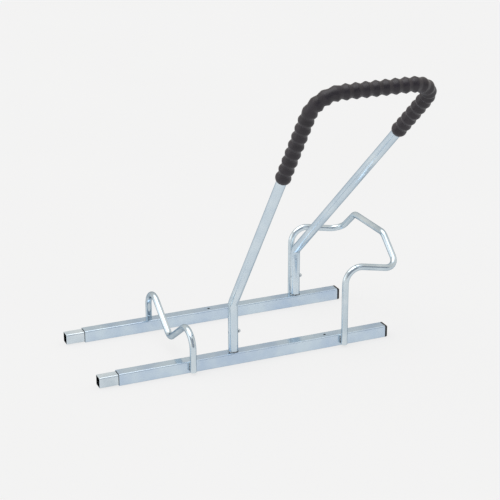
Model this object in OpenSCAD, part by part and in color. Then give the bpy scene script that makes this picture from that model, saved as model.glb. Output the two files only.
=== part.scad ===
// Hoop bike rack, one module of a row.
// Two square rails lie on the floor. A bent hoop in a ribbed rubber sleeve leans out over the
// near rail, and two bent rods between the rails hold a bicycle's wheel upright.
// X runs along the rails, Y from the near rail to the far one, and Z is up, in millimetres.
// The origin is the middle of the footprint, on the floor. Inside the modules, X is measured
// from the connector end of the rails and Y from the near rail's centreline, and in_frame()
// moves the finished piece to the origin.

/* [Rails] */
// Length of each square rail
rail_length = 930; // [900:5:1000]
// Distance between the centrelines of the two rails
rail_spacing = 355; // [345:1:370]
// Outside width of the square tube
rail_width = 40; // [40:0.5:42]
// Outside corner radius of the square tube
rail_corner = 4; // [3:0.5:5]
// Wall of the square tube
rail_wall = 2; // [1.5:0.25:2]
// Diameter of the ground anchor holes, through both walls
anchor_hole = 9; // [7:0.5:11]
// Place of the hole in the near rail
front_anchor_x = 715; // [600:5:730]
// Place of the hole in the far rail
rear_anchor_x = 447; // [300:5:700]

/* [Connectors] */
// Length that stands out of the rail, for the next module
connector_reach = 63; // [40:1:80]
// Length inside the rail
connector_grip = 85; // [80:1:120]
// Outside width of the connector's square tube
connector_width = 35; // [33:0.5:35.5]
// Outside corner radius of the connector
connector_corner = 5; // [4:0.5:6]
// Bevel at the connector's open end
connector_bevel = 2.5; // [1:0.5:3]
// Place of the plug weld that holds the connector, from the rail's end
plug_weld_x = 62; // [40:1:70]
// Diameter of the plug weld
plug_weld_diameter = 9; // [7:0.5:10]

/* [End caps] */
// How far a cap's head stands out of the rail
cap_head = 9.5; // [6:0.5:12]
// Length of the plug inside the rail
cap_plug = 22; // [15:1:35]
// Wall of the hollow plug
cap_wall = 2.5; // [2:0.25:4]

/* [Hoop] */
// Outside diameter of the hoop's tube
hoop_diameter = 32; // [31.5:0.5:32.5]
// Wall of the hoop's tube
hoop_wall = 2; // [1.75:0.25:2]
// Place of the front leg on the near rail
hoop_front_x = 390; // [370:5:410]
// Place of the rear leg on the far rail
hoop_rear_x = 774; // [764:1:784]
// Height where the legs start to lean
hoop_knee_height = 205; // [195:1:230]
// Height of the top bar's centreline
hoop_top_height = 966; // [900:2:1000]
// How far the top bar leans out in front of the near rail
hoop_lean = 400; // [350:5:420]
// Where the top bar meets the front leg
bar_front_x = 476; // [460:2:490]
// Where the top bar meets the rear leg
bar_rear_x = 869; // [855:1:890]
// Bend radius of the upper corners, on the centreline
hoop_corner_radius = 86; // [80:1:110]
// Bend radius of the knees, on the centreline
hoop_knee_radius = 30; // [28:1:60]
// Gap between the hoop's feet and the rails
hoop_foot_gap = 4; // [3.5:0.5:6]

/* [Sleeve] */
// Diameter over the ribs
rib_diameter = 48.5; // [44:0.5:50]
// Diameter in the valleys between the ribs
valley_diameter = 37.2; // [36:0.2:39]
// Number of ribs
rib_count = 30; // [24:1:34]
// How much closer the ribs stand round the rear corner, where the rubber is pushed together
corner_crowding = 0.08; // [0:0.01:0.15]
// Length of sleeve below the front corner, along the front leg
sleeve_front = 329; // [250:1:400]
// Length of sleeve below the rear corner, along the rear leg
sleeve_rear = 279; // [180:1:300]

/* [Spigots and bolts] */
// Height of a spigot above its rail
spigot_height = 100; // [80:5:120]
// Outside diameter of a spigot
spigot_diameter = 27.6; // [27:0.1:27.8]
// Wall of a spigot
spigot_wall = 2.5; // [2:0.25:3]
// Height of the cross bolt
bolt_height = 108; // [80:1:120]
// Diameter of the bolt's shank
bolt_diameter = 6; // [5:0.5:8]
// Diameter of the bolt's domed head
bolt_head_diameter = 12.5; // [11:0.5:14]
// Height of the bolt's domed head
bolt_head_height = 9; // [6:0.5:10]

/* [Wheel rods] */
// Outside diameter of both wheel rods
rod_diameter = 21.3; // [20:0.1:22]
// Wall of both wheel rods
rod_wall = 2; // [1.5:0.25:2.5]
// How far above the floor the rods' feet end
rod_foot_height = 8; // [4:1:12]
// Place of the low rod along the rails
low_rod_x = 241; // [200:1:300]
// Height of the low rod's near bend, where its straights would meet
low_rod_front_height = 184; // [170:1:200]
// Height of the low rod's far bend, where its straights would meet
low_rod_rear_height = 176; // [165:1:200]
// Height of the low rod's valley, where its straights would meet
low_rod_valley_height = 41; // [34:1:50]
// Bend radius of the low rod's two humps
low_rod_hump_radius = 54; // [40:1:56]
// Bend radius of the low rod's valley
low_rod_valley_radius = 34; // [18:1:40]
// Place of the high rod's feet along the rails
high_rod_x = 772; // [760:1:800]
// Place of the arch, out past the rails' ends
arch_x = 963; // [950:1:990]
// Height of the bends over the feet, where the straights would meet
shoulder_height = 283; // [275:1:300]
// Height where the two arms meet the arch
elbow_height = 246; // [235:1:260]
// Height of the arch's crown
crown_height = 335; // [325:1:350]
// Half of the crown's length
crown_half = 102; // [90:1:110]
// Bend radius over the feet
shoulder_radius = 52; // [45:1:55]
// Bend radius where the arms meet the arch
elbow_radius = 42; // [36:1:46]
// Bend radius at the two ends of the crown
crown_radius = 40; // [18:1:60]

/* [Hidden] */
$fn = 48;
zinc = [0.72, 0.77, 0.82];
zinc_dark = [0.60, 0.65, 0.70];
bead_grey = [0.52, 0.54, 0.56];
cap_black = [0.10, 0.10, 0.11];
rubber_grey = [0.20, 0.20, 0.21];
hoop_radius = hoop_diameter / 2;
rod_radius = rod_diameter / 2;
rib_radius = rib_diameter / 2;
valley_radius = valley_diameter / 2;
spigot_radius = spigot_diameter / 2;
front_face_y = -rail_width / 2;
rod_front_y = front_face_y - rod_radius;
rod_rear_y = rail_spacing - rod_front_y;
middle_y = rail_spacing / 2;
centre_x = (arch_x + rod_radius - connector_reach) / 2;
centre_y = (rod_rear_y + rod_radius - hoop_lean - rib_radius) / 2;
connector_wall = 2;
bevel_angle = 27;
plug_clearance = 0.4;
plug_corner = 3;
plug_weld_dome = 14;
bolt_dome = 4;
bolt_hole_clearance = 1;
weld_groove = 7;
weld_sink = 1.2;
weld_margin = 4;
drop_radius = 3.2;
drop_step = 2.8;
weld_drops = 9;
fillet_leg = 3.5;
bend_lap = 0.3;
bend_thinning = 0.02;
past = 1;

// Paths: a bent tube is a list of corner points and a list of bend radii between them.
hoop_points = [
    [hoop_front_x, 0, rail_width + hoop_foot_gap],
    [hoop_front_x, 0, hoop_knee_height],
    [bar_front_x, -hoop_lean, hoop_top_height],
    [bar_rear_x, -hoop_lean, hoop_top_height],
    [hoop_rear_x, rail_spacing, hoop_knee_height],
    [hoop_rear_x, rail_spacing, rail_width + hoop_foot_gap]
];
hoop_bends = [hoop_knee_radius, hoop_corner_radius, hoop_corner_radius, hoop_knee_radius];
low_rod_points = [
    [low_rod_x, rod_front_y, rod_foot_height],
    [low_rod_x, rod_front_y, low_rod_front_height],
    [low_rod_x, middle_y, low_rod_valley_height],
    [low_rod_x, rod_rear_y, low_rod_rear_height],
    [low_rod_x, rod_rear_y, rod_foot_height]
];
low_rod_bends = [low_rod_hump_radius, low_rod_valley_radius, low_rod_hump_radius];
high_rod_points = [
    [high_rod_x, rod_front_y, rod_foot_height],
    [high_rod_x, rod_front_y, shoulder_height],
    [arch_x, rod_front_y, elbow_height],
    [arch_x, middle_y - crown_half, crown_height],
    [arch_x, middle_y + crown_half, crown_height],
    [arch_x, rod_rear_y, elbow_height],
    [high_rod_x, rod_rear_y, shoulder_height],
    [high_rod_x, rod_rear_y, rod_foot_height]
];
high_rod_bends = [
    shoulder_radius,
    elbow_radius,
    crown_radius,
    crown_radius,
    elbow_radius,
    shoulder_radius
];

// Vectors and bends
function unit(v) = v / norm(v);
function side_of(v, along) = unit(v - (v * along) * along);
function heading(points, i) = unit(points[i + 1] - points[i]);
function turn_at(points, i) = acos(heading(points, i - 1) * heading(points, i));
function is_end(points, i) = i == 0 || i == len(points) - 1;
function setback(points, bends, i) =
    is_end(points, i) ? 0 : bends[i - 1] * tan(turn_at(points, i) / 2);
function reach_past(points, i, open_by) = is_end(points, i) ? open_by : bend_lap;
function inward(points, i) = side_of(heading(points, i), heading(points, i - 1));
function bend_start(points, bends, i) =
    points[i] - setback(points, bends, i) * heading(points, i - 1);
function bend_centre(points, bends, i) =
    bend_start(points, bends, i) + bends[i - 1] * inward(points, i);
// Turns the drawing's axes to the three unit vectors e1, e2 and e3. Where e1 stands upright,
// two of the three turns share an axis, so the last is left at nothing.
function upright(v) = abs(v[2]) > 0.999999;
function axis_angles(e1, e2, e3) = [
    upright(e1) ? atan2(-sign(e1[2]) * e2[0], e2[1]) : atan2(e2[2], e3[2]),
    upright(e1) ? -90 * sign(e1[2]) : asin(-e1[2]),
    upright(e1) ? 0 : atan2(e1[1], e1[0])
];

module straight(from, to, radius) {
    run = to - from;
    lean = acos(run[2] / norm(run));
    translate(from)
        rotate([0, lean, atan2(run[1], run[0])])
            cylinder(h = norm(run), r = radius);
}

module bend(points, bends, i, radius) {
    along = heading(points, i - 1);
    outward = -inward(points, i);
    translate(bend_centre(points, bends, i))
        rotate(axis_angles(outward, along, cross(outward, along)))
            rotate_extrude(angle = turn_at(points, i))
                translate([bends[i - 1], 0])
                    circle(r = radius - bend_thinning);
}

// Each straight laps over the bends beside it, which the bending draws a hair thinner.
module bent_bar(points, bends, radius, open_by) {
    for (i = [0:len(points) - 2])
        straight(
            points[i] + (setback(points, bends, i) - reach_past(points, i, open_by))
                * heading(points, i),
            points[i + 1] - (setback(points, bends, i + 1) - reach_past(points, i + 1, open_by))
                * heading(points, i),
            radius
        );
    for (i = [1:len(points) - 2])
        bend(points, bends, i, radius);
}

module bent_tube(points, bends, radius, wall) {
    difference() {
        bent_bar(points, bends, radius, 0);
        bent_bar(points, bends, radius - wall, past);
    }
}

// Ribbed sleeve: rings of points along the hoop's path, out over the ribs and back in the bore.
ring_sides = 16;
ring_steps = 4;
bore_radius = 16.8;
corner_front = 2;
corner_rear = 3;
front_turn = turn_at(hoop_points, corner_front);
rear_turn = turn_at(hoop_points, corner_rear);
front_setback = setback(hoop_points, hoop_bends, corner_front);
rear_setback = setback(hoop_points, hoop_bends, corner_rear);
front_straight = sleeve_front - front_setback;
front_arc = hoop_corner_radius * front_turn * PI / 180;
bar_straight = bar_rear_x - bar_front_x - front_setback - rear_setback;
rear_arc = hoop_corner_radius * rear_turn * PI / 180;
rear_straight = sleeve_rear - rear_setback;
bend_in = front_straight;
bend_out = bend_in + front_arc;
turn_in = bend_out + bar_straight;
turn_out = turn_in + rear_arc;
sleeve_length = turn_out + rear_straight;
// The ribs keep one pitch, but for the rear corner, where they crowd
rib_pitch = (sleeve_length - rear_arc + rear_arc / (1 - corner_crowding)) / rib_count;
ribs_to_turn = turn_in / rib_pitch;
ribs_past_turn = ribs_to_turn + rear_arc / (rib_pitch * (1 - corner_crowding));
rib_places = [[0, 0], [ribs_to_turn, turn_in], [ribs_past_turn, turn_out], [rib_count, sleeve_length]];
function place_of_rib(number) = lookup(number, rib_places);

function spun(v, about, angle) =
    v * cos(angle) + cross(about, v) * sin(angle) + about * (about * v) * (1 - cos(angle));
function bend_axis(i) =
    unit(cross(heading(hoop_points, i - 1), heading(hoop_points, i)));

// Angle turned at a length s of the sleeve, before the bar (negative) or after it (positive)
function turned(s) =
    s < bend_in ? -front_turn
    : s < bend_out ? -front_turn * (bend_out - s) / front_arc
    : s < turn_in ? 0
    : s < turn_out ? rear_turn * (s - turn_in) / rear_arc
    : rear_turn;
function carried(v, s) =
    spun(v, s < turn_in ? bend_axis(corner_front) : bend_axis(corner_rear), turned(s));
function on_bend(i, s) =
    bend_centre(hoop_points, hoop_bends, i)
    - hoop_corner_radius * carried(
        i == corner_front
            ? unit(-heading(hoop_points, 1) + (heading(hoop_points, 1) * heading(hoop_points, 2))
                * heading(hoop_points, 2))
            : inward(hoop_points, corner_rear),
        s);
function centre_at(s) =
    s < bend_in ? bend_start(hoop_points, hoop_bends, corner_front)
        - (bend_in - s) * heading(hoop_points, 1)
    : s < bend_out ? on_bend(corner_front, s)
    : s < turn_in ? hoop_points[corner_front]
        + (front_setback + s - bend_out) * heading(hoop_points, 2)
    : s < turn_out ? on_bend(corner_rear, s)
    : hoop_points[corner_rear] + (rear_setback + s - turn_out) * heading(hoop_points, 3);

// Rib profile over one pitch: the valley, then a shoulder, the crest and a shoulder
shoulder_share = 0.72;
shoulder_of_rib = valley_radius + shoulder_share * (rib_radius - valley_radius);
function profile(step) =
    [valley_radius, shoulder_of_rib, rib_radius, shoulder_of_rib][step % ring_steps];
function ring(s, radius) = [
    for (k = [0:ring_sides - 1])
        centre_at(s)
        + radius * cos(360 * k / ring_sides) * carried([0, -1, 0], s)
        + radius * sin(360 * k / ring_sides) * carried([0, 0, 1], s)
];
outer_rings = rib_count * ring_steps;
bore_steps = 2;
bore_rings = rib_count * bore_steps;
sleeve_points = concat(
    [for (i = [0:outer_rings]) each ring(place_of_rib(i / ring_steps), profile(i))],
    [for (i = [bore_rings:-1:0]) each ring(place_of_rib(i / bore_steps), bore_radius)]
);
ring_total = outer_rings + bore_rings + 2;
function place(r, k) = (r % ring_total) * ring_sides + (k % ring_sides);
sleeve_faces = [
    for (r = [0:ring_total - 1])
        for (k = [0:ring_sides - 1])
            for (half = [0, 1])
                half == 0
                    ? [place(r, k), place(r + 1, k), place(r + 1, k + 1)]
                    : [place(r, k), place(r + 1, k + 1), place(r, k + 1)]
];

// Plain shapes
module in_frame() {
    translate([-centre_x, -centre_y, 0])
        children();
}

module rounded_square(width, corner) {
    inner = width - 2 * corner;
    square([width, inner], center = true);
    square([inner, width], center = true);
    for (x = [-inner / 2, inner / 2])
        for (y = [-inner / 2, inner / 2])
            translate([x, y])
                circle(r = corner);
}

// A square tube along X, from one place to another, on the centreline of a rail at y
module square_tube(from, to, y, width, corner, wall) {
    translate([from, y, rail_width / 2])
        rotate([90, 0, 90])
            linear_extrude(height = to - from)
                difference() {
                    rounded_square(width, corner);
                    rounded_square(width - 2 * wall, corner - wall);
                }
}

module rail(y, anchor_x) {
    difference() {
        square_tube(0, rail_length, y, rail_width, rail_corner, rail_wall);
        translate([anchor_x, y, -past])
            cylinder(h = rail_width + 2 * past, d = anchor_hole);
        translate([plug_weld_x, y, rail_width / 2])
            cylinder(h = rail_width, d = plug_weld_diameter);
    }
}

module connector(y) {
    half = connector_width / 2;
    difference() {
        square_tube(-connector_reach, connector_grip, y, connector_width, connector_corner,
            connector_wall);
        for (turn = [0:90:270])
            translate([-connector_reach, y, rail_width / 2])
                rotate([turn, 0, 0])
                    translate([0, 0, half - connector_bevel / 2])
                        rotate([0, -bevel_angle, 0])
                            translate([-connector_width, -connector_width, 0])
                                cube([2 * connector_width, 2 * connector_width, connector_width]);
    }
}

// A cap's head is a block whose outer edges are rounded as its corners are
module cap_head_block() {
    flat = rail_width - 2 * rail_corner;
    base = cap_head - rail_corner;
    half = flat / 2;
    translate([0, -half, -half])
        cube([cap_head, flat, flat]);
    rotate([90, 0, 90])
        linear_extrude(height = base)
            rounded_square(rail_width, rail_corner);
    for (side = [-half, half]) {
        translate([base, side, -half])
            cylinder(h = flat, r = rail_corner);
        translate([base, -half, side])
            rotate([-90, 0, 0])
                cylinder(h = flat, r = rail_corner);
        for (across = [-half, half])
            translate([base, side, across])
                sphere(r = rail_corner);
    }
}

module end_cap(y) {
    plug = rail_width - 2 * rail_wall - plug_clearance;
    square_tube(rail_length - cap_plug, rail_length, y, plug, plug_corner, cap_wall);
    intersection() {
        translate([rail_length, y, rail_width / 2])
            cap_head_block();
        translate([rail_length, y - rail_width, -past])
            cube([rail_width, 2 * rail_width, rail_width + 2 * past]);
    }
}

module plug_weld(y) {
    rise = plug_weld_dome - sqrt(pow(plug_weld_dome, 2) - pow(plug_weld_diameter / 2, 2));
    translate([plug_weld_x, y, rail_width - rail_wall])
        cylinder(h = rail_wall, d = plug_weld_diameter);
    intersection() {
        translate([plug_weld_x, y, rail_width + rise - plug_weld_dome])
            sphere(r = plug_weld_dome);
        translate([plug_weld_x, y, rail_width])
            cylinder(h = plug_weld_dome, d = 2 * plug_weld_diameter);
    }
}

// A ring of weld round a tube that stands on a rail's top
module top_weld(x, y, radius) {
    translate([x, y, rail_width])
        rotate_extrude()
            translate([radius, 0])
                intersection() {
                    circle(r = fillet_leg);
                    square(fillet_leg);
                }
}

// A bead down each side of a rod's foot, laid drop by drop where the foot touches a rail's outer
// face. The far rail's are the near rail's mirrored.
module side_weld(x) {
    lowest = rod_foot_height + weld_margin;
    difference() {
        for (side = [-1, 1])
            for (drop = [0:weld_drops - 1])
                translate([x + side * weld_groove, front_face_y - weld_sink,
                    lowest + drop * drop_step])
                    sphere(r = drop_radius);
        translate([x, rod_front_y, 0])
            cylinder(h = rail_width + past, r = rod_radius);
        translate([x - rail_width, front_face_y, -past])
            cube([2 * rail_width, rail_width, rail_width + 2 * past]);
    }
}

module far_side_weld(x) {
    translate([0, rail_spacing, 0])
        mirror([0, 1, 0])
            side_weld(x);
}

module spigot(x, y) {
    difference() {
        translate([x, y, rail_width])
            cylinder(h = spigot_height, r = spigot_radius);
        translate([x, y, rail_width - past])
            cylinder(h = spigot_height + 2 * past, r = spigot_radius - spigot_wall);
        translate([x - spigot_diameter, y, bolt_height])
            rotate([0, 90, 0])
                cylinder(h = 2 * spigot_diameter, d = bolt_diameter);
    }
}

// The bolt's head is a dome on the far side from the connectors, and its shank ends in the spigot
module hoop_bolt(x, y) {
    rim = bolt_head_height - bolt_dome;
    dome_radius = (pow(bolt_head_diameter / 2, 2) + pow(bolt_dome, 2)) / (2 * bolt_dome);
    translate([x, y, bolt_height])
        rotate([0, 90, 0]) {
            translate([0, 0, -spigot_radius])
                cylinder(h = spigot_radius + hoop_radius, d = bolt_diameter);
            translate([0, 0, hoop_radius])
                cylinder(h = rim, d = bolt_head_diameter);
            intersection() {
                translate([0, 0, hoop_radius + rim + bolt_dome - dome_radius])
                    sphere(r = dome_radius);
                translate([0, 0, hoop_radius + rim])
                    cylinder(h = bolt_dome + past, d = 2 * bolt_head_diameter);
            }
        }
}

// Sub-parts
module front_rail() {
    color(zinc)
        in_frame()
            rail(0, front_anchor_x);
}

module rear_rail() {
    color(zinc)
        in_frame()
            rail(rail_spacing, rear_anchor_x);
}

module front_connector() {
    color(zinc_dark)
        in_frame()
            connector(0);
}

module rear_connector() {
    color(zinc_dark)
        in_frame()
            connector(rail_spacing);
}

module front_end_cap() {
    color(cap_black)
        in_frame()
            end_cap(0);
}

module rear_end_cap() {
    color(cap_black)
        in_frame()
            end_cap(rail_spacing);
}

module hoop_tube() {
    color(zinc)
        in_frame()
            difference() {
                bent_tube(hoop_points, hoop_bends, hoop_radius, hoop_wall);
                for (leg = [hoop_points[0], hoop_points[5]])
                    translate([leg[0] - hoop_diameter, leg[1], bolt_height])
                        rotate([0, 90, 0])
                            cylinder(h = 2 * hoop_diameter, d = bolt_diameter + bolt_hole_clearance);
            }
}

module rubber_sleeve() {
    color(rubber_grey)
        in_frame()
            polyhedron(points = sleeve_points, faces = sleeve_faces, convexity = 10);
}

module front_hoop_spigot() {
    color(zinc_dark)
        in_frame()
            spigot(hoop_front_x, 0);
}

module rear_hoop_spigot() {
    color(zinc_dark)
        in_frame()
            spigot(hoop_rear_x, rail_spacing);
}

module front_hoop_bolt() {
    color(zinc_dark)
        in_frame()
            hoop_bolt(hoop_front_x, 0);
}

module rear_hoop_bolt() {
    color(zinc_dark)
        in_frame()
            hoop_bolt(hoop_rear_x, rail_spacing);
}

module low_wheel_rod() {
    color(zinc)
        in_frame()
            bent_tube(low_rod_points, low_rod_bends, rod_radius, rod_wall);
}

module high_wheel_rod() {
    color(zinc)
        in_frame()
            bent_tube(high_rod_points, high_rod_bends, rod_radius, rod_wall);
}

module front_plug_weld() {
    color(bead_grey)
        in_frame()
            plug_weld(0);
}

module rear_plug_weld() {
    color(bead_grey)
        in_frame()
            plug_weld(rail_spacing);
}

module front_spigot_weld() {
    color(bead_grey)
        in_frame()
            top_weld(hoop_front_x, 0, spigot_radius);
}

module rear_spigot_weld() {
    color(bead_grey)
        in_frame()
            top_weld(hoop_rear_x, rail_spacing, spigot_radius);
}

module low_rod_front_weld() {
    color(bead_grey)
        in_frame()
            side_weld(low_rod_x);
}

module low_rod_rear_weld() {
    color(bead_grey)
        in_frame()
            far_side_weld(low_rod_x);
}

module high_rod_front_weld() {
    color(bead_grey)
        in_frame()
            side_weld(high_rod_x);
}

module high_rod_rear_weld() {
    color(bead_grey)
        in_frame()
            far_side_weld(high_rod_x);
}

front_rail();
rear_rail();
front_connector();
rear_connector();
front_end_cap();
rear_end_cap();
hoop_tube();
rubber_sleeve();
front_hoop_spigot();
rear_hoop_spigot();
front_hoop_bolt();
rear_hoop_bolt();
low_wheel_rod();
high_wheel_rod();
front_plug_weld();
rear_plug_weld();
front_spigot_weld();
rear_spigot_weld();
low_rod_front_weld();
low_rod_rear_weld();
high_rod_front_weld();
high_rod_rear_weld();
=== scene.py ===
# %% [markdown]
# # Hoop bike rack: the looks
# Two square steel rails lie on the floor, a tall hoop in a ribbed rubber sleeve leans out over
# the near rail, and two bent rods hold a bicycle's wheel upright. The steel pieces come from the
# CAD model with their real sizes, so this script only gives them their finishes. The sleeve is
# soft, so it is modelled here with all its ribs, in the space that its CAD solid keeps for it.

# %% Load the frame
import math

import bmesh
import bpy
from mathutils import Matrix, Quaternion, Vector


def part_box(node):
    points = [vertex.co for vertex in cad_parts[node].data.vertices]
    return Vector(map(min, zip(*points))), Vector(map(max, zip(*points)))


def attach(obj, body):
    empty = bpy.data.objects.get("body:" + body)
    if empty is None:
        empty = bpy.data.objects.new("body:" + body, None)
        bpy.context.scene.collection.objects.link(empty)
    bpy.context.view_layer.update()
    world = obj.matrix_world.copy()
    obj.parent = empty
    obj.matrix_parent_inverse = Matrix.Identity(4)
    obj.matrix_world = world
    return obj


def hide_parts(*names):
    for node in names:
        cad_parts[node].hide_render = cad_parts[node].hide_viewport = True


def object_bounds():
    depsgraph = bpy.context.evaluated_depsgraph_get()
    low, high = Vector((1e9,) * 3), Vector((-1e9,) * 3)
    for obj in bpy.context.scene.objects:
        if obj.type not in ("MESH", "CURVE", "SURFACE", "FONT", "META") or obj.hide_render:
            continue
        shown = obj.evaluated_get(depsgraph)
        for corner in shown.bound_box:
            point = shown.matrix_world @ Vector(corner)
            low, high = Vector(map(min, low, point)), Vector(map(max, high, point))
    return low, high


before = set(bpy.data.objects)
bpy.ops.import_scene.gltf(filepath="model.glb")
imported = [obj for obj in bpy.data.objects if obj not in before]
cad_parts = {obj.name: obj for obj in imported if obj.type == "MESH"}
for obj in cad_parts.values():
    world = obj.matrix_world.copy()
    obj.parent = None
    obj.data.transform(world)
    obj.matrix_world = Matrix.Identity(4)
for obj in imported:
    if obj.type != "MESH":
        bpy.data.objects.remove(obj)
cad_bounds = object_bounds()
print("CAD nodes:", len(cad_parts))

# %% [markdown]
# ## Units and the starting corner
# Workshop drawings are in millimetres and Blender counts in metres, so one value turns the first
# into the second. The hoop's places are measured from the near rail, from the end where the next
# module plugs in, so the frame itself says where that is.

# %% Millimetres and the near rail
MM = 0.001
rail_low, rail_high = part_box("front_rail")
rail_start = Vector((rail_low[0], (rail_low[1] + rail_high[1]) / 2, rail_low[2]))


def from_rail(along, across, up):
    """A place in metres, from its distances in millimetres off the near rail's start."""
    return rail_start + Vector((along, across, up)) * MM


print("near rail starts at", [round(v, 4) for v in rail_start])

# %% [markdown]
# ## The camera
# A long lens from about four and a half metres gives the flat, nearly parallel look of a
# catalogue picture. The camera stands off the rack's near left side and looks down on it. Its
# place and three angles are all that it needs, so no tracking constraint can drift.

# %% Camera
camera_place = from_rail(-1198.6, -3820.3, 1946.2)
camera_azimuth = -23.33
camera_elevation = 20.67
camera_roll = -0.09
lens_mm = 102.24
sensor_mm = 36.0
farthest_seen = 50.0

camera_data = bpy.data.cameras.new("rack_camera")
camera_data.lens = lens_mm
camera_data.sensor_width = sensor_mm
camera_data.clip_end = farthest_seen
camera = bpy.data.objects.new("rack_camera", camera_data)
bpy.context.collection.objects.link(camera)
turn = Matrix.Rotation(math.radians(camera_azimuth), 4, "Z")
tilt = Matrix.Rotation(math.radians(90 - camera_elevation), 4, "X")
roll = Matrix.Rotation(math.radians(camera_roll), 4, "Z")
camera.matrix_world = Matrix.Translation(camera_place) @ turn @ tilt @ roll
bpy.context.scene.camera = camera
print("camera at", [round(v, 3) for v in camera_place])

# %% [markdown]
# ## Nodes and colours
# Every finish below is a small tree of shader nodes. One function adds a node, sets it and links
# it, so that a finish reads from top to bottom. Colours are picked as sRGB hex values, the way a
# paint chart gives them, and are turned to the linear values that the shader counts in. A mix
# node has several sockets of one name, so the ones for colours go by their number.

# %% Node and colour helpers
MIX_SHARE, MIX_FIRST, MIX_SECOND = 0, 6, 7
MIX_RESULT = 2


def linear(hex_value):
    """The linear RGBA of an sRGB colour such as c0ccd8."""
    shares = [int(hex_value[i:i + 2], 16) / 255 for i in (0, 2, 4)]
    return [s / 12.92 if s <= 0.04045 else ((s + 0.055) / 1.055) ** 2.4 for s in shares] + [1.0]


def add_node(tree, kind, inputs=None, **settings):
    """Adds a node with its settings. An input takes a value, or another node's output."""
    made = tree.nodes.new(kind)
    for name, value in settings.items():
        setattr(made, name, value)
    for name, value in (inputs or {}).items():
        if isinstance(value, bpy.types.NodeSocket):
            tree.links.new(value, made.inputs[name])
        else:
            made.inputs[name].default_value = value
    return made


def per_metre(size_mm):
    """The scale of a noise pattern whose patches are about this many millimetres across."""
    return 1 / (size_mm * MM)


def new_material(name):
    """An empty material with its output, its shader and the object's own coordinates."""
    made = bpy.data.materials.new(name)
    made.use_nodes = True
    tree = made.node_tree
    tree.nodes.clear()
    shader = add_node(tree, "ShaderNodeBsdfPrincipled")
    add_node(tree, "ShaderNodeOutputMaterial", {"Surface": shader.outputs["BSDF"]})
    place = add_node(tree, "ShaderNodeTexCoord").outputs["Object"]
    return made, tree, shader, place


print("white is", linear("ffffff"))

# %% [markdown]
# ## Bright zinc plating
# The steel is electroplated with zinc and dipped in a clear blue passivate. The eye sees a pale
# blue-silver, cloudy over a hand's width where the bath ran unevenly, with a satin shine, since
# the plating copies the drawn tube under it. Zinc also reflects a little less where it is seen
# almost edge on, which draws a darker line down both sides of a tube. A noise of about a hand's
# width drives the cloud, a finer one the shine, and a very fine one the grain.

# %% Recipe for zinc plating
zinc_edge = "a9b3bc"
cloud_stops = (0.36, 0.5, 0.64)
streaks_per_cloud = 5
noise_low, noise_high = 0.3, 0.7


def zinc_plating(name, tones, shine, cloud_mm, grain_mm, grain_height_mm, metal):
    """Zinc over steel: tones from dull to bright, and the lowest and highest roughness."""
    made, tree, shader, place = new_material(name)
    cloud = add_node(tree, "ShaderNodeTexNoise", {
        "Vector": place, "Scale": per_metre(cloud_mm), "Detail": 3.0, "Roughness": 0.55})
    ramp = add_node(tree, "ShaderNodeValToRGB", {"Fac": cloud.outputs["Fac"]})
    stops = ramp.color_ramp.elements
    stops.new(cloud_stops[1])
    for stop, at, tone in zip(stops, cloud_stops, tones):
        stop.position = at
        stop.color = linear(tone)
    tree.links.new(ramp.outputs["Color"], shader.inputs["Base Color"])
    streak = add_node(tree, "ShaderNodeTexNoise", {
        "Vector": place, "Scale": per_metre(cloud_mm / streaks_per_cloud), "Detail": 5.0,
        "Roughness": 0.6})
    spread = add_node(tree, "ShaderNodeMapRange", {
        "Value": streak.outputs["Fac"], "From Min": noise_low, "From Max": noise_high,
        "To Min": shine[0], "To Max": shine[1]})
    tree.links.new(spread.outputs["Result"], shader.inputs["Roughness"])
    grain = add_node(tree, "ShaderNodeTexNoise", {
        "Vector": place, "Scale": per_metre(grain_mm), "Detail": 2.0})
    bump = add_node(tree, "ShaderNodeBump", {
        "Height": grain.outputs["Fac"], "Distance": grain_height_mm * MM, "Strength": 0.6})
    tree.links.new(bump.outputs["Normal"], shader.inputs["Normal"])
    shader.inputs["Metallic"].default_value = metal
    shader.inputs["Specular Tint"].default_value = linear(zinc_edge)
    return made


print("a plating's colour stops are at", cloud_stops)

# %% [markdown]
# ## Five kinds of plated steel
# The rods are drawn smoother than the square tube, and the bolts are small and duller, so the
# recipe is used five times with other numbers. A table keeps them side by side: the tones from
# dull to bright, the lowest and highest roughness, the width of the cloud, the width and the
# height of the grain in millimetres, and the share of metal.

# %% Zinc plating
platings = {
    "square_tube": (("b8cade", "c3d3e2", "ccdbe6"), (0.09, 0.13), 110, 2.5, 0.001, 0.9),
    "hoop_tube": (("c6d5e0", "d0dde6", "d9e4ea"), (0.12, 0.15), 120, 2.5, 0.001, 0.85),
    "round_rod": (("bccad3", "c8d5dd", "d3dee4"), (0.1, 0.13), 90, 2.0, 0.001, 0.9),
    "inner_tube": (("c8d4dc", "d3dee5", "dce5ea"), (0.12, 0.2), 90, 2.0, 0.002, 0.75),
    "bolt": (("b9bfc4", "c7cdd1", "d4d8db"), (0.2, 0.28), 12, 1.0, 0.003, 0.9),
}
zinc = {kind: zinc_plating("bright_zinc_on_" + kind, *numbers)
        for kind, numbers in platings.items()}
print("zinc finishes:", list(zinc))

# %% [markdown]
# ## Where the zinc doesn't reach
# Zinc hardly plates the inside of a tube, so through a connector's open end the eye sees dark
# bare steel. In the crevice where the connector goes into its rail, a thin dark line of painted
# shade stands in for the shadow in the gap. Both are masks over the place on the tube, mixed
# over the plating's colour.

# %% Bare steel inside the connectors, painted shade at the rail's end
bare_steel_and_shade = "2b2d2f"
connector_wall_mm = 2.0
bare_edge_mm = 0.3
crevice_shade_mm = 2.4


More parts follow.
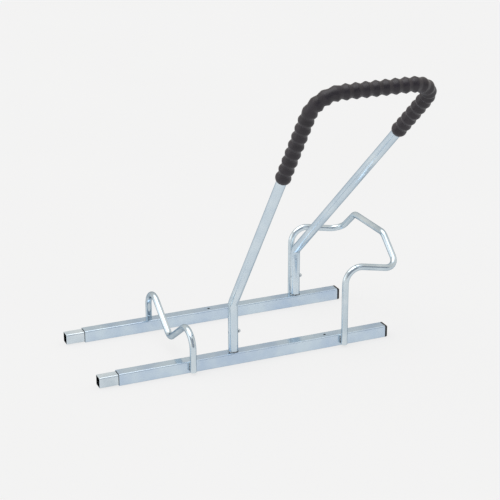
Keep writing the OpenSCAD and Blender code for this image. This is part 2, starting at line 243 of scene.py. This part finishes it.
def connector_finish(node_name):
    """Bright zinc, with bare steel inside the tube and a line of painted shade at the rail's end.
    """
    made = zinc_plating("bright_zinc_on_" + node_name, *platings["inner_tube"])
    tree = made.node_tree
    shader = next(node for node in tree.nodes if node.type == "BSDF_PRINCIPLED")
    place = next(node for node in tree.nodes if node.type == "TEX_COORD").outputs["Object"]
    low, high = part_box(node_name)
    parts = add_node(tree, "ShaderNodeSeparateXYZ", {"Vector": place})
    off = []
    for axis, number in (("Y", 1), ("Z", 2)):
        middle = (low[number] + high[number]) / 2
        from_middle = add_node(tree, "ShaderNodeMath", {
            0: parts.outputs[axis], 1: middle}, operation="SUBTRACT")
        off.append(add_node(tree, "ShaderNodeMath", {
            0: from_middle.outputs[0]}, operation="ABSOLUTE").outputs[0])
    farther = add_node(tree, "ShaderNodeMath", {0: off[0], 1: off[1]}, operation="MAXIMUM")
    bore_half = (high[2] - low[2]) / 2 - (connector_wall_mm - bare_edge_mm) * MM
    inside = add_node(tree, "ShaderNodeMath", {
        0: farther.outputs[0], 1: bore_half}, operation="LESS_THAN")
    # Painted shade: a dark band on the connector next to the rail's end stands in for the shadow
    # in the gap.
    crevice_shade = add_node(tree, "ShaderNodeMapRange", {
        "Value": parts.outputs["X"], "From Min": rail_start.x - crevice_shade_mm * MM,
        "From Max": rail_start.x - crevice_shade_mm * MM / 2})
    dark = add_node(tree, "ShaderNodeMath", {
        0: inside.outputs[0], 1: crevice_shade.outputs["Result"]}, operation="MAXIMUM")
    plated = shader.inputs["Base Color"].links[0].from_socket
    mixed = add_node(tree, "ShaderNodeMix", {
        MIX_SHARE: dark.outputs[0], MIX_FIRST: plated, MIX_SECOND: linear(bare_steel_and_shade)},
        data_type="RGBA")
    tree.links.new(mixed.outputs[MIX_RESULT], shader.inputs["Base Color"])
    return made


connector_finishes = {name: connector_finish(name)
                      for name in ("front_connector", "rear_connector")}
print("connector finishes:", sorted(connector_finishes))

# %% [markdown]
# ## Weld metal
# A weld bead freezes in ripples two or three millimetres apart, and plating over it stays duller
# and darker than over drawn tube, with soot-dark pits where the flux sat. A wave of ripples bent
# by a noise gives the bead its bump, and the pits darken the colour. The wave node counts 20
# radians to one unit of its scale, so its scale is worked out from the ripple's width.

# %% Plated weld bead
bead_ripple_mm = 2.639
bead_relief_mm = 0.3
bead_pit_mm = 3.5
wave_radians = 20
weld_bead, tree, shader, place = new_material("plated_weld_bead")
pits = add_node(tree, "ShaderNodeTexNoise", {
    "Vector": place, "Scale": per_metre(bead_pit_mm), "Detail": 4.0, "Roughness": 0.7})
bead_ramp = add_node(tree, "ShaderNodeValToRGB", {"Fac": pits.outputs["Fac"]})
for stop, at, tone in zip(bead_ramp.color_ramp.elements, (0.47, 0.55), ("1b2023", "c3ced6")):
    stop.position = at
    stop.color = linear(tone)
ripple = add_node(tree, "ShaderNodeTexWave", {
    "Vector": place, "Scale": per_metre(bead_ripple_mm) * math.tau / wave_radians,
    "Distortion": 6.0, "Detail": 2.0})
bead_bump = add_node(tree, "ShaderNodeBump", {
    "Height": ripple.outputs["Fac"], "Distance": bead_relief_mm * MM, "Strength": 0.8})
tree.links.new(bead_ramp.outputs["Color"], shader.inputs["Base Color"])
tree.links.new(bead_bump.outputs["Normal"], shader.inputs["Normal"])
shader.inputs["Metallic"].default_value = 0.7
shader.inputs["Roughness"].default_value = 0.4
print("weld ripple", bead_ripple_mm, "mm")

# %% [markdown]
# ## Moulded polyethylene
# The end caps are injection moulded in black polyethylene, from a mould with a fine spark
# texture. It looks nearly black with a soft sheen, and rubs greyer where it is handled.

# %% Black end cap plastic
rub_mm = 18
spark_mm = 0.6
spark_depth_mm = 0.04
cap_plastic, tree, shader, place = new_material("moulded_black_polyethylene")
rub = add_node(tree, "ShaderNodeTexNoise", {
    "Vector": place, "Scale": per_metre(rub_mm), "Detail": 4.0})
rub_ramp = add_node(tree, "ShaderNodeValToRGB", {"Fac": rub.outputs["Fac"]})
for stop, tone in zip(rub_ramp.color_ramp.elements, ("0c0c0e", "17171a")):
    stop.color = linear(tone)
spark = add_node(tree, "ShaderNodeTexNoise", {
    "Vector": place, "Scale": per_metre(spark_mm), "Detail": 2.0})
spark_bump = add_node(tree, "ShaderNodeBump", {
    "Height": spark.outputs["Fac"], "Distance": spark_depth_mm * MM, "Strength": 0.7})
tree.links.new(rub_ramp.outputs["Color"], shader.inputs["Base Color"])
tree.links.new(spark_bump.outputs["Normal"], shader.inputs["Normal"])
shader.inputs["Roughness"].default_value = 0.5
shader.inputs["IOR"].default_value = 1.46
print("spark texture", spark_mm, "mm")

# %% [markdown]
# ## Carbon-black rubber
# The sleeve is compression moulded in rubber filled with carbon black. It is a very dark grey
# with a hint of violet, matt in its body, with a soft grey sheen on the ribs where the skin is
# smoothest. A fine pebble of about a millimetre breaks the sheen up, a slow noise lets handled
# ribs shine more, and a bloom as wide as a thumb makes the colour uneven.

# %% Sleeve rubber
bloom_mm = 30
handled_mm = 45
pebble_mm = 1.1
pebble_height_mm = 0.08
rubber_shine = (0.36, 0.46)
sleeve_rubber, tree, shader, place = new_material("moulded_carbon_black_rubber")
bloom = add_node(tree, "ShaderNodeTexNoise", {
    "Vector": place, "Scale": per_metre(bloom_mm), "Detail": 5.0, "Roughness": 0.6})
bloom_ramp = add_node(tree, "ShaderNodeValToRGB", {"Fac": bloom.outputs["Fac"]})
for stop, at, tone in zip(bloom_ramp.color_ramp.elements, (0.3, 0.72), ("1d191f", "2c272e")):
    stop.position = at
    stop.color = linear(tone)
handled = add_node(tree, "ShaderNodeTexNoise", {
    "Vector": place, "Scale": per_metre(handled_mm), "Detail": 2.0})
sheen = add_node(tree, "ShaderNodeMapRange", {
    "Value": handled.outputs["Fac"], "From Min": noise_low, "From Max": noise_high,
    "To Min": rubber_shine[0], "To Max": rubber_shine[1]})
pebble = add_node(tree, "ShaderNodeTexNoise", {
    "Vector": place, "Scale": per_metre(pebble_mm), "Detail": 3.0})
pebble_bump = add_node(tree, "ShaderNodeBump", {
    "Height": pebble.outputs["Fac"], "Distance": pebble_height_mm * MM, "Strength": 0.5})
tree.links.new(bloom_ramp.outputs["Color"], shader.inputs["Base Color"])
tree.links.new(sheen.outputs["Result"], shader.inputs["Roughness"])
tree.links.new(pebble_bump.outputs["Normal"], shader.inputs["Normal"])
shader.inputs["IOR"].default_value = 1.46
print("rubber pebble", pebble_mm, "mm")

# %% [markdown]
# ## Finishes on the CAD pieces
# A CAD piece keeps its mesh, and only the material in its slots changes. A short table says
# which finish each one has. The pieces that it leaves out are the beads of weld metal, so no
# piece is left with a plain colour.

# %% Give each CAD piece its finish
finishes = {
    "front_rail": zinc["square_tube"],
    "rear_rail": zinc["square_tube"],
    "front_plug_weld": zinc["square_tube"],
    "rear_plug_weld": zinc["square_tube"],
    "hoop_tube": zinc["hoop_tube"],
    "low_wheel_rod": zinc["round_rod"],
    "high_wheel_rod": zinc["round_rod"],
    "front_hoop_spigot": zinc["inner_tube"],
    "rear_hoop_spigot": zinc["inner_tube"],
    "front_hoop_bolt": zinc["bolt"],
    "rear_hoop_bolt": zinc["bolt"],
    "front_end_cap": cap_plastic,
    "rear_end_cap": cap_plastic,
    "rubber_sleeve": sleeve_rubber,
}
finishes.update(connector_finishes)
for node_name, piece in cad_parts.items():
    finish = finishes.get(node_name, weld_bead)
    piece.data.materials.clear()
    piece.data.materials.append(finish)
print("beads:", [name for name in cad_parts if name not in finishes])

# %% [markdown]
# ## The hoop's path under the sleeve
# The sleeve is moulded straight and pushed over the hoop, so it follows the hoop's middle line:
# up the front leg, round a corner, along the top bar, round the other corner and down the rear
# leg. A list of straights and arcs describes that line. Each remembers how the tube's cross
# section is turned where it starts, so the sleeve isn't twisted on its way.

# %% Straights and arcs of the hoop
knee_front = from_rail(390, 0, 205)
corner_front = from_rail(476, -400, 966)
corner_rear = from_rail(869, -400, 966)
knee_rear = from_rail(774, 355, 205)
corner_radius = 86 * MM
sleeve_on_front_leg = 329 * MM
sleeve_on_rear_leg = 279 * MM


def hoop_line(points, radius):
    """Straights and arcs through the points, each as a dictionary with its start and length."""
    stretches = []
    at = points[0]
    facing = (points[1] - points[0]).to_track_quat("Z", "Y")
    for before, corner, after in zip(points, points[1:], points[2:]):
        heading = (corner - before).normalized()
        leaving = (after - corner).normalized()
        bend = heading.angle(leaving)
        setback = radius * math.tan(bend / 2)
        axis = heading.cross(leaving).normalized()
        start = corner - heading * setback
        stretches.append({"start": at, "facing": facing, "length": (start - at).length})
        stretches.append({"start": start, "facing": facing, "length": radius * bend,
                          "axis": axis, "centre": start + axis.cross(heading) * radius})
        facing = Quaternion(axis, bend) @ facing
        at = corner + leaving * setback
    stretches.append({"start": at, "facing": facing, "length": (points[-1] - at).length})
    return stretches


front_end = corner_front + (knee_front - corner_front).normalized() * sleeve_on_front_leg
rear_end = corner_rear + (knee_rear - corner_rear).normalized() * sleeve_on_rear_leg
line = hoop_line([front_end, corner_front, corner_rear, rear_end], corner_radius)
front_straight, front_arc, bar, rear_arc, rear_straight = [part["length"] for part in line]
sleeve_length = sum(part["length"] for part in line)
print("sleeve length", round(sleeve_length / MM, 1), "mm")

# %% [markdown]
# ## One rib, turned and repeated
# A rib could be sculpted, but it is round, so it is turned as on a lathe: a short profile is
# spun about the middle. The ring of rubber is then repeated end to end and merged, which keeps
# all the ribs alike, as they come from the mould. The rear corner crowds them by a few parts in a
# hundred, so the straight ring is made that much longer and is squeezed there when it is bent.

# %% Turn the ribs
rib_count = 30
rib_steps = 12
sides = 48
crest_radius = 24.2 * MM
valley_radius = 18.7 * MM
mouth_radius = 16.6 * MM
bore_radius = 16.2 * MM
merge_distance = 0.05 * MM
corner_crowding = 0.08
crowded_moulded = rear_arc / (1 - corner_crowding)
rib_pitch = (sleeve_length + crowded_moulded * corner_crowding) / rib_count

sleeve_mesh = bmesh.new()
profile = [sleeve_mesh.verts.new((valley_radius, 0, rib_pitch * step / rib_steps))
           for step in range(rib_steps + 1)]
for lower, upper in zip(profile, profile[1:]):
    sleeve_mesh.edges.new((lower, upper))
bmesh.ops.spin(sleeve_mesh, geom=sleeve_mesh.verts[:] + sleeve_mesh.edges[:], cent=(0, 0, 0),
               axis=(0, 0, 1), angle=math.tau, steps=sides, use_merge=True)
one_rib = sleeve_mesh.verts[:] + sleeve_mesh.edges[:] + sleeve_mesh.faces[:]
for number in range(1, rib_count):
    copy = bmesh.ops.duplicate(sleeve_mesh, geom=one_rib)["geom"]
    copied = [item for item in copy if isinstance(item, bmesh.types.BMVert)]
    bmesh.ops.translate(sleeve_mesh, verts=copied, vec=(0, 0, rib_pitch * number))
bmesh.ops.remove_doubles(sleeve_mesh, verts=sleeve_mesh.verts[:], dist=merge_distance)
print("rib pitch", round(rib_pitch / MM, 2), "mm,", len(sleeve_mesh.faces), "faces")

# %% [markdown]
# ## The bore
# Rubber has a wall, so the sleeve isn't left as a skin. The two open ends are drawn in to the
# tube and joined by a bore through the whole length, cut into short rings so that it can bend.

# %% Close the ends and join the bore
bore_rings = 2 * rib_count
level_tolerance = 0.1 * MM
moulded_length = rib_pitch * rib_count


def open_edges(mesh, height):
    """The edges round an open end at this height."""
    return [edge for edge in mesh.edges if edge.is_boundary
            and all(abs(vert.co.z - height) < level_tolerance for vert in edge.verts)]


for height in (0.0, moulded_length):
    end = bmesh.ops.extrude_edge_only(sleeve_mesh, edges=open_edges(sleeve_mesh, height))["geom"]
    for vert in (item for item in end if isinstance(item, bmesh.types.BMVert)):
        vert.co.xy = vert.co.xy.normalized() * bore_radius
mouths = [edge for edge in sleeve_mesh.edges if edge.is_boundary]
bore = bmesh.ops.bridge_loops(sleeve_mesh, edges=mouths)
long_edges = [edge for edge in bore["edges"] if edge.calc_length() > moulded_length / 2]
bmesh.ops.subdivide_edges(sleeve_mesh, edges=long_edges, cuts=bore_rings - 1, use_grid_fill=True)
bmesh.ops.recalc_face_normals(sleeve_mesh, faces=sleeve_mesh.faces[:])
print("sleeve closed:", all(edge.is_manifold for edge in sleeve_mesh.edges))

# %% [markdown]
# ## How the rubber gives
# Round the outside of a corner the sleeve is stretched and its ribs sink, while on the inside
# they crowd and keep their height. Along the top bar it is pulled a little, so its valleys are
# wide scallops, and on the legs it is pushed together, so its ribs stand as full beads. The ends
# round down to the tube. Each of these is a share of the rib's height, so they can be combined.

# %% Shape of the ribs
bar_start = front_straight + front_arc / 2
bar_end = front_straight + front_arc + bar + rear_arc / 2
crowd_start = front_straight + front_arc + bar
ease = 60 * MM
stretch_loss = 1.6
least_height = 0.55
sunk_swell = 0.4
leg_scallop = 0.25
bar_scallop = 0.65
end_bulge = 0.6


def along_hoop(moulded):
    """Distance along the hoop of a place on the straight moulded sleeve."""
    squeezed = min(max(moulded - crowd_start, 0), crowded_moulded)
    return moulded - squeezed * corner_crowding


def on_bar(distance):
    """How much a place belongs to the top bar, from 0 on a leg to 1 on the bar."""
    rise = min(max((distance - bar_start + ease) / (2 * ease), 0), 1)
    fall = min(max((bar_end + ease - distance) / (2 * ease), 0), 1)
    return rise * fall


def rib_shape(moulded, distance):
    """Share of the rib's height: 0 in a valley and 1 on a crest."""
    phase = math.pi * (moulded / rib_pitch % 1)
    bead = math.sin(phase)
    scallop = 1 - abs(math.cos(phase))
    pulled = leg_scallop + (bar_scallop - leg_scallop) * on_bar(distance)
    return bead * (1 - pulled) + scallop * pulled


def outer_radius(moulded, inward_share):
    """Radius of the outside. inward_share is 1 on the inside of a bend and -1 on its outside."""
    distance = along_hoop(moulded)
    from_end = min(moulded, moulded_length - moulded)
    if from_end < rib_pitch / 2:
        rounding = math.sin(math.pi * from_end / rib_pitch) ** end_bulge
        return mouth_radius + (crest_radius - mouth_radius) * rounding
    stretch = 1 - inward_share * crest_radius / corner_radius
    keep = min(max(1 - stretch_loss * (stretch - 1), least_height), 1)
    full = crest_radius - valley_radius
    swell = sunk_swell * full * (1 - keep)
    return valley_radius + swell + full * keep * rib_shape(moulded, distance)


print("a crest stands", round((crest_radius - valley_radius) / MM, 1), "mm over its valley")

# %% [markdown]
# ## Push the sleeve over the hoop
# Each ring of the straight sleeve moves to its place on the hoop's line and turns with it. A
# curve modifier could bend it too, but it would twist the ribs where the line leaves one plane
# for another, and this way the rings carry their turn from stretch to stretch.

# %% Bend the sleeve
same_radius = 0.3 * MM


def on_line(stretches, distance, radius):
    """The middle, the turn of the cross section and the way to the bend's centre, if any."""
    for stretch in stretches:
        last = stretch is stretches[-1]
        if distance <= stretch["length"] or last:
            break
        distance -= stretch["length"]
    if "axis" not in stretch:
        heading = stretch["facing"] @ Vector((0, 0, 1))
        return stretch["start"] + heading * distance, stretch["facing"], Vector((0, 0, 0))
    swing = Quaternion(stretch["axis"], distance / radius)
    outward = swing @ (stretch["start"] - stretch["centre"])
    return stretch["centre"] + outward, swing @ stretch["facing"], -outward.normalized()


def mesh_object(name, mesh):
    """Puts a bmesh into the scene as an object of this name, and frees the bmesh."""
    data = bpy.data.meshes.new(name)
    mesh.to_mesh(data)
    mesh.free()
    made = bpy.data.objects.new(name, data)
    bpy.context.collection.objects.link(made)
    return made


for vert in sleeve_mesh.verts:
    moulded = min(max(vert.co.z, 0), moulded_length)
    middle, facing, inward = on_line(line, along_hoop(moulded), corner_radius)
    side = Vector((vert.co.x, vert.co.y, 0))
    away = facing @ side.normalized()
    radius = side.length
    if radius > bore_radius + same_radius:
        radius = outer_radius(moulded, away.dot(inward))
    vert.co = middle + away * radius
for face in sleeve_mesh.faces:
    face.smooth = True

sleeve = mesh_object("ribbed_rubber_sleeve", sleeve_mesh)
sleeve.data.materials.append(sleeve_rubber)
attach(sleeve, "root")
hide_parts("rubber_sleeve")
print("sleeve faces", len(sleeve.data.polygons))

# %% [markdown]
# ## Weld rings under the hoop's feet
# The stub inside each foot is welded to its rail all round. A weld is laid drop by drop, so the
# ring isn't smooth: it has a lump for each drop, and a crease between two drops. A quarter-round
# profile is spun about the stub, and each ring point is drawn back in the creases. No hand lays
# drops of one length, so a slow wave makes them a little longer and shorter round the ring.

# %% Lay the drops
drops = 17
sides_per_drop = 8
crease_depth = 0.34
drop_bulge = 0.6
hand_wobble = 0.3
wobbles = 3
weld_leg = 3.5 * MM
weld_steps = 7


def weld_ring(node_name):
    """A lumpy ring of weld in the place of the smooth one in the CAD model."""
    low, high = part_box(node_name)
    stub_radius = (high[0] - low[0]) / 2 - weld_leg
    foot = Vector(((low[0] + high[0]) / 2, (low[1] + high[1]) / 2, low[2]))
    mesh = bmesh.new()
    arc = [(stub_radius + weld_leg * math.cos(math.pi / 2 * step / weld_steps),
            weld_leg * math.sin(math.pi / 2 * step / weld_steps))
           for step in range(weld_steps + 1)]
    outline = [mesh.verts.new((x, 0, z)) for x, z in arc + [(stub_radius, 0)]]
    for start, end in zip(outline, outline[1:] + outline[:1]):
        mesh.edges.new((start, end))
    bmesh.ops.spin(mesh, geom=mesh.verts[:] + mesh.edges[:], cent=(0, 0, 0), axis=(0, 0, 1),
                   angle=math.tau, steps=drops * sides_per_drop, use_merge=True)
    for vert in mesh.verts:
        round_it = math.atan2(vert.co.y, vert.co.x)
        drop = abs(math.sin(round_it * drops / 2 + hand_wobble * math.sin(wobbles * round_it)))
        keep = 1 - crease_depth * (1 - drop ** drop_bulge)
        stub = Vector((vert.co.x, vert.co.y, 0)).normalized() * stub_radius
        vert.co = foot + stub + (vert.co - stub) * keep
    bmesh.ops.recalc_face_normals(mesh, faces=mesh.faces[:])
    for face in mesh.faces:
        face.smooth = True
    ring = mesh_object(node_name + "_drops", mesh)
    ring.data.materials.append(weld_bead)
    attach(ring, "root")
    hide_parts(node_name)
    return ring


for node_name in ("front_spigot_weld", "rear_spigot_weld"):
    ring = weld_ring(node_name)
    print(ring.name, len(ring.data.polygons), "faces")

# %% [markdown]
# ## Floor
# The rack stands on a white sweep that is lit from below as well as from above, as a catalogue
# studio lights it, so its own light nearly washes the shadows out. Only a faint grey is left
# where the rails touch it. It lies a hair under the rails, so that no two faces coincide.

# %% Floor
floor_half = 30.0
floor_gap_mm = 0.1
floor_glow = 0.75
floor_haze_mm = 1250
floor_mesh = bmesh.new()
bmesh.ops.create_grid(floor_mesh, x_segments=1, y_segments=1, size=floor_half)
floor = mesh_object("studio_floor", floor_mesh)
floor.location.z = cad_bounds[0][2] - floor_gap_mm * MM
floor_white, tree, shader, place = new_material("glowing_white_acrylic_sheet")
haze = add_node(tree, "ShaderNodeTexNoise", {
    "Vector": place, "Scale": per_metre(floor_haze_mm), "Detail": 2.0})
haze_ramp = add_node(tree, "ShaderNodeValToRGB", {"Fac": haze.outputs["Fac"]})
for stop, tone in zip(haze_ramp.color_ramp.elements, ("606060", "646464")):
    stop.color = linear(tone)
tree.links.new(haze_ramp.outputs["Color"], shader.inputs["Base Color"])
shader.inputs["Emission Color"].default_value = linear("fefefe")
shader.inputs["Emission Strength"].default_value = floor_glow
shader.inputs["Roughness"].default_value = 0.9
shader.inputs["Specular IOR Level"].default_value = 0.0
floor.data.materials.append(floor_white)
print("floor at z", round(floor.location.z, 4))

# %% [markdown]
# ## The studio round the rack
# Bright metal shows what is round it, so the studio is painted for the plating's sake. It is a
# pale room with slightly warm walls behind the rack and on its right. Round soft patches are
# laid over it: a white softbox on the left, one overhead, a small window behind the camera, and
# two darker parts of the room, which draw the dark lines on the rods. A patch is full inside its
# core and fades out at its edge.

# %% Studio room
room_strength = 1.0
room_tone = "f0ebe4"
patches = (  # name, azimuth and elevation, core and edge in degrees, tone, brightness
    ("back wall", (0, 38), (22, 68), "fffaf3", 0.84),
    ("right wall", (78, 0), (14, 42), "fffaf4", 0.98),
    ("dark end of the room", (176, 18), (30, 50), "969ba4", 1.0),
    ("dark corner", (-124, 40), (8, 26), "b4b6bb", 1.0),
    ("overhead softbox", (150, 84), (27, 36), "ffffff", 1.15),
    ("left softbox", (-78, 8), (17, 34), "ffffff", 1.45),
    ("small window", (157, 24), (4, 9), "ffffff", 1.3),
)


def direction(azimuth, elevation):
    """A unit vector. Azimuth 0 is behind the rack, 90 its right and 180 the camera's side."""
    azimuth, elevation = math.radians(azimuth), math.radians(elevation)
    return Vector((math.sin(azimuth) * math.cos(elevation),
                   math.cos(azimuth) * math.cos(elevation), math.sin(elevation)))


room = bpy.data.worlds.new("studio_room")
room.use_nodes = True
tree = room.node_tree
tree.nodes.clear()
sight = add_node(tree, "ShaderNodeTexCoord").outputs["Generated"]
painted = add_node(tree, "ShaderNodeRGB").outputs["Color"]
painted.default_value = linear(room_tone)
for name, aim, (core, edge), tone, brightness in patches:
    along = add_node(tree, "ShaderNodeVectorMath", {0: sight, 1: direction(*aim)},
                     operation="DOT_PRODUCT").outputs["Value"]
    share = add_node(tree, "ShaderNodeMapRange", {
        "Value": along, "From Min": math.cos(math.radians(edge)),
        "From Max": math.cos(math.radians(core))}, interpolation_type="SMOOTHSTEP")
    lit = [channel * brightness for channel in linear(tone)[:3]] + [1.0]
    painted = add_node(tree, "ShaderNodeMix", {
        MIX_SHARE: share.outputs["Result"], MIX_FIRST: painted, MIX_SECOND: lit},
        data_type="RGBA").outputs[MIX_RESULT]
    print(name, "at", aim)
glow = add_node(tree, "ShaderNodeBackground", {"Color": painted, "Strength": room_strength})
add_node(tree, "ShaderNodeOutputWorld", {"Surface": glow.outputs["Background"]})
bpy.context.scene.world = room

# %% [markdown]
# ## Key light
# A broad soft key hangs nearly overhead, a little to the left. It draws the sheen along the top
# of the ribs, and it is so wide that the rack's shadow melts into the floor.

# %% Key light
key_strength = 1.3
key_angle = 64
key_data = bpy.data.lights.new("soft_key", "SUN")
key_data.energy = key_strength
key_data.angle = math.radians(key_angle)
key = bpy.data.objects.new("soft_key", key_data)
bpy.context.collection.objects.link(key)
key_from = direction(-60, 74)
key.rotation_euler = key_from.to_track_quat("Z", "Y").to_euler()
bpy.context.scene.view_settings.view_transform = "Standard"
print("key light comes from", [round(v, 2) for v in key_from])
